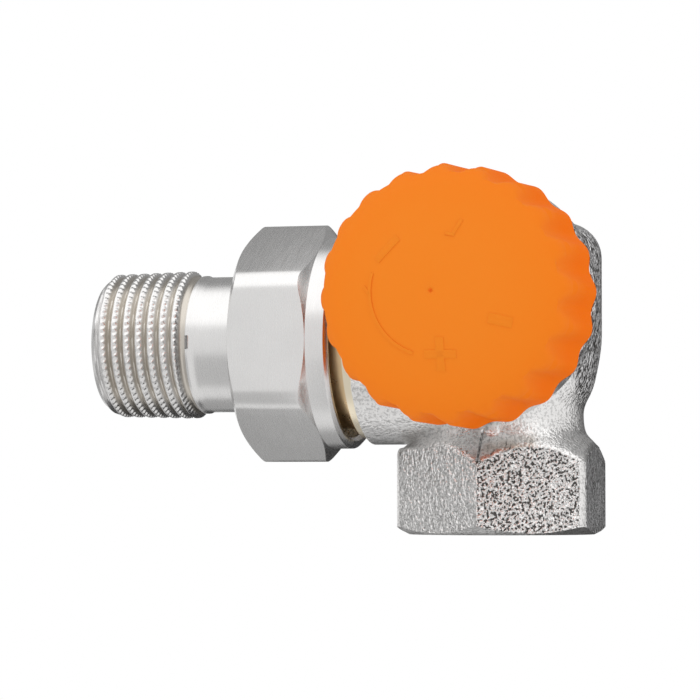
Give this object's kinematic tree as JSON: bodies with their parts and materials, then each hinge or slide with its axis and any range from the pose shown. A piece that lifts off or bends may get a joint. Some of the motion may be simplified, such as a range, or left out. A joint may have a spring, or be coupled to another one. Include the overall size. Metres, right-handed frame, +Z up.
{
  "type": "angle radiator valve",
  "caption": "Corner-pattern radiator valve body with a hexagon inlet socket, a union tailpiece to the radiator, a sprung spindle insert and a fluted orange hand cap.",
  "frame": {"origin": "centre of the inlet socket's mouth", "axes": "+Z runs up the inlet socket's axis, -X points along the tailpiece to the radiator, -Y points along the spindle to the hand cap"},
  "size_m": [0.0748, 0.0548, 0.0499],
  "materials": {
    "cast_nickel": "nickel-plated rough casting",
    "plated_nickel": "satin nickel plate on turned brass",
    "orange_plastic": "satin moulded plastic",
    "insert_brass": "turned",
    "spindle_steel": "ground",
    "spring_steel": "drawn wire",
    "seal_rubber": "moulded"
  },
  "bodies": {
    "valve": {"valve_body": "cast_nickel", "insert_housing": "insert_brass", "housing_seal": "seal_rubber", "guide_bush": "insert_brass", "return_spring": "spring_steel", "inner_seal": "seal_rubber", "gland_nut": "insert_brass", "outer_seal": "seal_rubber", "gland_cover": "insert_brass"},
    "spindle": {"spindle": "spindle_steel", "retaining_ring": "spring_steel", "spring_washer": "spring_steel", "disc_carrier": "insert_brass", "seal_disc": "seal_rubber", "disc_nut": "insert_brass"},
    "cap": {"hand_cap": "orange_plastic"},
    "tailpiece": {"tailpiece": "plated_nickel"},
    "union_nut": {"union_nut": "plated_nickel"}
  },
  "joints": [
    {"name": "spindle_slide", "type": "slide", "parent": "valve", "child": "spindle", "axis": [0, 1, 0], "range_m": [0, 0.00225], "deforming": ["return_spring"]},
    {"name": "cap_turn", "type": "hinge", "parent": "spindle", "child": "cap", "pos_m": [0, -0.03, 0.0322], "axis": [0, 1, 0], "range_deg": [0, 540]},
    {"name": "tailpiece_draw", "type": "slide", "parent": "valve", "child": "tailpiece", "axis": [-1, 0, 0], "range_m": [0, 0.00726]},
    {"name": "nut_turn", "type": "hinge", "parent": "tailpiece", "child": "union_nut", "pos_m": [-0.028, -0.003, 0.027], "axis": [-1, 0, 0], "range_deg": [0, 1440]}
  ],
  "couplings": [
    {"joint": "spindle_slide", "follows": "cap_turn", "m_per_rad": 0.00023873},
    {"joint": "tailpiece_draw", "follows": "nut_turn", "m_per_rad": 0.0002887}
  ]
}
